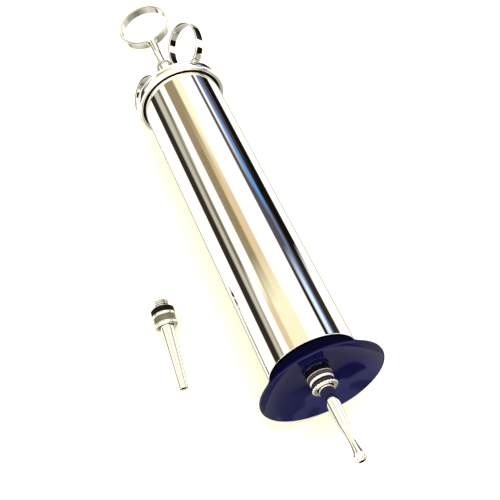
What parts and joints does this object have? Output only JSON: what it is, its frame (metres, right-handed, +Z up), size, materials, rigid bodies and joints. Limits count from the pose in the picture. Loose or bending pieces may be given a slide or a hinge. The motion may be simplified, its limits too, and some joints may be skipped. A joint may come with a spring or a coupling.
{
  "type": "piston syringe",
  "caption": "Plated three-ring piston syringe with a dished splash shield, a ball-tipped screw-in nozzle and a straight spare nozzle beside it.",
  "frame": {"origin": "middle of the footprint on the table that the syringe and its spare nozzle lie on", "axes": "+X along the barrel towards the nozzle, +Z up from the table, +Y across to the side away from the spare nozzle"},
  "size_m": [0.2608, 0.079, 0.0507],
  "materials": {
    "chrome_shell": "mirror-bright plated brass",
    "nickel_fittings": "bright plated brass, turned",
    "bare_brass": "turned brass",
    "navy_plastic": "moulded, high gloss",
    "black_rubber": "satin moulded rubber",
    "waxed_packing": "waxed cotton packing"
  },
  "bodies": {
    "barrel": {"barrel_tube": "chrome_shell", "front_plate": "nickel_fittings", "nozzle_socket": "nickel_fittings", "cap_thread_ring": "nickel_fittings"},
    "cap_seal": {"cap_gasket": "black_rubber"},
    "cap": {"rear_cap": "chrome_shell", "finger_ring_upper": "chrome_shell", "finger_ring_lower": "chrome_shell", "gland_packing": "waxed_packing"},
    "gland_ring": {"gland_follower": "bare_brass"},
    "gland": {"gland_nut": "nickel_fittings"},
    "piston": {"piston_front_disc": "bare_brass", "piston_front_cup": "black_rubber", "piston_spacer": "bare_brass", "piston_rear_cup": "black_rubber", "piston_rear_disc": "bare_brass"},
    "plunger": {"plunger_rod": "chrome_shell", "rod_nut": "nickel_fittings", "thumb_ferrule": "chrome_shell", "thumb_ring": "chrome_shell"},
    "shield": {"splash_shield": "navy_plastic"},
    "nozzle_seal": {"nozzle_washer": "black_rubber"},
    "nozzle": {"nozzle_collar": "nickel_fittings", "nozzle_tube": "chrome_shell"},
    "spare_nozzle": {"spare_nozzle_washer": "black_rubber", "spare_nozzle_collar": "nickel_fittings", "spare_nozzle_tube": "chrome_shell"}
  },
  "joints": [
    {"name": "plunger_slide", "type": "slide", "parent": "barrel", "child": "piston", "axis": [-0.9996, 0, -0.0274], "range_m": [0, 0.125]},
    {"name": "plunger_turn", "type": "hinge", "parent": "piston", "child": "plunger", "pos_m": [0.08775, 0.0142, 0.0251], "axis": [0.9996, 0, 0.0274], "continuous": true},
    {"name": "cap_travel", "type": "slide", "parent": "barrel", "child": "cap_seal", "axis": [-0.9996, 0, -0.0274], "range_m": [0, 0.004]},
    {"name": "cap_turn", "type": "hinge", "parent": "cap_seal", "child": "cap", "pos_m": [0.08775, 0.0142, 0.0251], "axis": [-0.9996, 0, -0.0274], "range_deg": [0, 1805]},
    {"name": "gland_travel", "type": "slide", "parent": "cap", "child": "gland_ring", "axis": [-0.9996, 0, -0.0274], "range_m": [0, 0.004]},
    {"name": "gland_turn", "type": "hinge", "parent": "gland_ring", "child": "gland", "pos_m": [0.08775, 0.0142, 0.0251], "axis": [-0.9996, 0, -0.0274], "range_deg": [0, 1805]},
    {"name": "shield_turn", "type": "hinge", "parent": "barrel", "child": "shield", "pos_m": [0.08775, 0.0142, 0.0251], "axis": [0.9996, 0, 0.0274], "continuous": true},
    {"name": "nozzle_travel", "type": "slide", "parent": "barrel", "child": "nozzle_seal", "axis": [0.9996, 0, 0.0274], "range_m": [0, 0.0048]},
    {"name": "nozzle_turn", "type": "hinge", "parent": "nozzle_seal", "child": "nozzle", "pos_m": [0.08775, 0.0142, 0.0251], "axis": [0.9996, 0, 0.0274], "range_deg": [0, 2165]},
    {"name": "spare_nozzle_lift", "type": "slide", "parent": "barrel", "child": "spare_nozzle", "axis": [0, 0, 1], "range_m": [0, 0.06]}
  ],
  "couplings": [
    {"joint": "cap_turn", "follows": "cap_travel", "rad_per_m": 7854},
    {"joint": "gland_turn", "follows": "gland_travel", "rad_per_m": 7854},
    {"joint": "nozzle_turn", "follows": "nozzle_travel", "rad_per_m": 7854}
  ]
}
